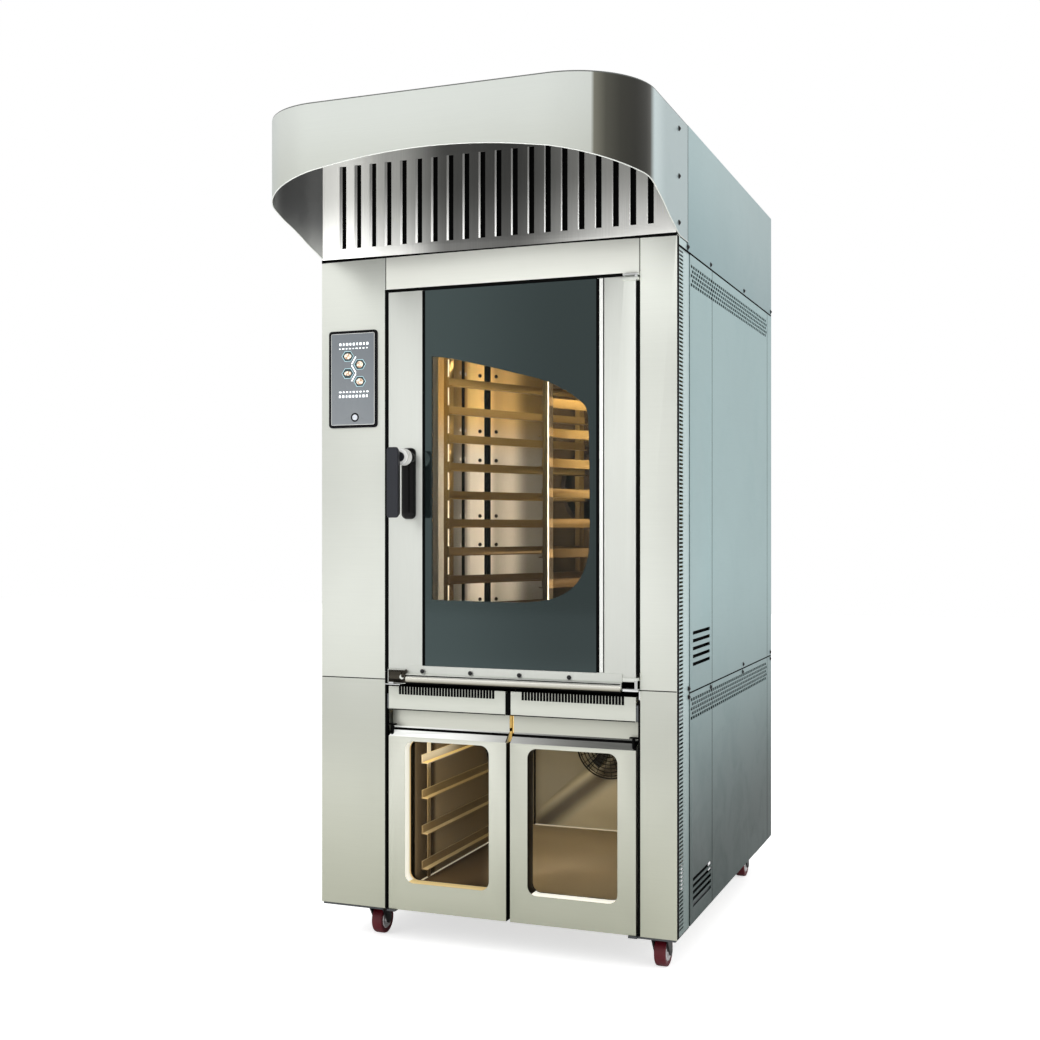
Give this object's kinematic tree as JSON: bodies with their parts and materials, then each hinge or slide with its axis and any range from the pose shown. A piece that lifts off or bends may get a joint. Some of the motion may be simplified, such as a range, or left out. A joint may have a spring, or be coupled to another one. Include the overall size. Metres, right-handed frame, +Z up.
{
  "type": "rotating rack oven",
  "caption": "Electric rack oven with a turning tray rack behind a glazed door, over a glazed two-door proofer, under a curved extraction hood, on swivel castors.",
  "frame": {"origin": "centre of the footprint, on the floor", "axes": "+Z up; the doors face -Y; +X is to the right of someone facing the doors"},
  "size_m": [1.01, 1.66, 2.2263],
  "materials": {
    "front_steel": "fine horizontal brush, pale warm grey",
    "side_steel": "satin, pale blue-grey",
    "visor_steel": "fine horizontal brush, bright",
    "frame_steel": "plain mill finish",
    "chamber_steel": "bright rolled sheet, lit warm",
    "rack_steel": "bright round-edged bar, lit warm",
    "bright_metal": "polished",
    "dark_glass": "tempered, printed dark round a clear window",
    "clear_glass": "tempered, clear",
    "black_plastic": "fine moulded grain",
    "screen": "glossy display glass",
    "silicone": "matte seal",
    "mineral_wool": "coarse fibre",
    "motor_paint": "satin enamel",
    "heater_metal": "heat-tinted tube",
    "tyre_red": "smooth moulded tread",
    "lamp_glass": "frosted, lit warm"
  },
  "bodies": {
    "cabinet": {"chassis": "frame_steel", "left_column": "front_steel", "right_column": "front_steel", "front_header": "front_steel", "right_louvre_strip": "side_steel", "left_louvre_strip": "side_steel", "right_side_panel_upper": "side_steel", "right_side_panel_lower": "side_steel", "left_side_panel_upper": "side_steel", "left_side_panel_lower": "side_steel", "back_panel_upper": "side_steel", "back_panel_lower": "side_steel", "vent_cover_left": "front_steel", "vent_cover_right": "front_steel", "hood_visor": "visor_steel", "hood_casing": "side_steel", "hood_grille": "front_steel", "flue_collar": "frame_steel", "oven_liner": "chamber_steel", "oven_insulation": "mineral_wool", "air_panel_left": "chamber_steel", "air_panel_right": "chamber_steel", "air_panel_back": "chamber_steel", "heater_bank": "heater_metal", "circulation_motor": "motor_paint", "rack_gearmotor": "motor_paint", "oven_lamp": "lamp_glass", "door_gasket": "silicone", "hinge_lower": "bright_metal", "hinge_upper": "bright_metal", "control_bezel": "black_plastic", "control_screen": "screen", "proofer_liner": "chamber_steel", "proofer_runners_left": "rack_steel", "proofer_runners_right": "rack_steel", "proofer_fan_guard": "bright_metal", "proofer_fan_motor": "motor_paint"},
    "oven_door": {"oven_door": "front_steel", "oven_door_glass": "dark_glass", "oven_door_inner_glass": "clear_glass", "door_drip_gutter": "front_steel", "handle_base": "black_plastic"},
    "door_handle": {"door_handle": "black_plastic"},
    "proofer_door_left": {"proofer_door_left": "front_steel", "proofer_window_left": "clear_glass"},
    "proofer_door_right": {"proofer_door_right": "front_steel", "proofer_window_right": "clear_glass"},
    "rack": {"rack_frame": "rack_steel", "rack_carrier": "frame_steel"},
    "circulation_fan": {"circulation_impeller": "frame_steel"},
    "proofer_fan": {"proofer_fan": "frame_steel"},
    "start_button": {"start_button": "black_plastic"},
    "castor_fork_front_left": {"castor_fork_front_left": "bright_metal"},
    "castor_wheel_front_left": {"castor_wheel_front_left": "tyre_red"},
    "castor_fork_front_right": {"castor_fork_front_right": "bright_metal"},
    "castor_wheel_front_right": {"castor_wheel_front_right": "tyre_red"},
    "castor_fork_rear_left": {"castor_fork_rear_left": "bright_metal"},
    "castor_wheel_rear_left": {"castor_wheel_rear_left": "tyre_red"},
    "castor_fork_rear_right": {"castor_fork_rear_right": "bright_metal"},
    "castor_wheel_rear_right": {"castor_wheel_rear_right": "tyre_red"}
  },
  "joints": [
    {"name": "oven_door_hinge", "type": "hinge", "parent": "cabinet", "child": "oven_door", "pos_m": [0.4, -0.431, 1.26], "axis": [0, 0, 1], "range_deg": [0, 110]},
    {"name": "door_handle_turn", "type": "hinge", "parent": "oven_door", "child": "door_handle", "pos_m": [-0.232, -0.475, 1.325], "axis": [0, -1, 0], "range_deg": [0, 90]},
    {"name": "proofer_door_left_hinge", "type": "hinge", "parent": "cabinet", "child": "proofer_door_left", "pos_m": [-0.291, -0.417, 0.37], "axis": [0, 0, 1], "range_deg": [-115, 0]},
    {"name": "proofer_door_right_hinge", "type": "hinge", "parent": "cabinet", "child": "proofer_door_right", "pos_m": [0.39, -0.417, 0.37], "axis": [0, 0, 1], "range_deg": [0, 115]},
    {"name": "rack_spin", "type": "hinge", "parent": "cabinet", "child": "rack", "pos_m": [0.047, 0.037, 1.3], "axis": [0, 0, 1], "continuous": true},
    {"name": "circulation_fan_spin", "type": "hinge", "parent": "cabinet", "child": "circulation_fan", "pos_m": [0.047, 0.485, 1.266], "axis": [0, 1, 0], "continuous": true},
    {"name": "proofer_fan_spin", "type": "hinge", "parent": "cabinet", "child": "proofer_fan", "pos_m": [0.055, 0.46, 0.435], "axis": [0, 1, 0], "continuous": true},
    {"name": "start_button_push", "type": "slide", "parent": "cabinet", "child": "start_button", "axis": [0, 1, 0], "range_m": [0, 0.0015], "stiffness_N_per_m": 400},
    {"name": "castor_swivel_front_left", "type": "hinge", "parent": "cabinet", "child": "castor_fork_front_left", "pos_m": [-0.373, -0.341, 0.092], "axis": [0, 0, 1], "continuous": true},
    {"name": "castor_roll_front_left", "type": "hinge", "parent": "castor_fork_front_left", "child": "castor_wheel_front_left", "pos_m": [-0.373, -0.315, 0.04], "axis": [1, 0, 0], "continuous": true},
    {"name": "castor_swivel_front_right", "type": "hinge", "parent": "cabinet", "child": "castor_fork_front_right", "pos_m": [0.44, -0.341, 0.092], "axis": [0, 0, 1], "continuous": true},
    {"name": "castor_roll_front_right", "type": "hinge", "parent": "castor_fork_front_right", "child": "castor_wheel_front_right", "pos_m": [0.44, -0.315, 0.04], "axis": [1, 0, 0], "continuous": true},
    {"name": "castor_swivel_rear_left", "type": "hinge", "parent": "cabinet", "child": "castor_fork_rear_left", "pos_m": [-0.373, 0.637, 0.092], "axis": [0, 0, 1], "continuous": true},
    {"name": "castor_roll_rear_left", "type": "hinge", "parent": "castor_fork_rear_left", "child": "castor_wheel_rear_left", "pos_m": [-0.373, 0.663, 0.04], "axis": [1, 0, 0], "continuous": true},
    {"name": "castor_swivel_rear_right", "type": "hinge", "parent": "cabinet", "child": "castor_fork_rear_right", "pos_m": [0.44, 0.637, 0.092], "axis": [0, 0, 1], "continuous": true},
    {"name": "castor_roll_rear_right", "type": "hinge", "parent": "castor_fork_rear_right", "child": "castor_wheel_rear_right", "pos_m": [0.44, 0.663, 0.04], "axis": [1, 0, 0], "continuous": true}
  ]
}
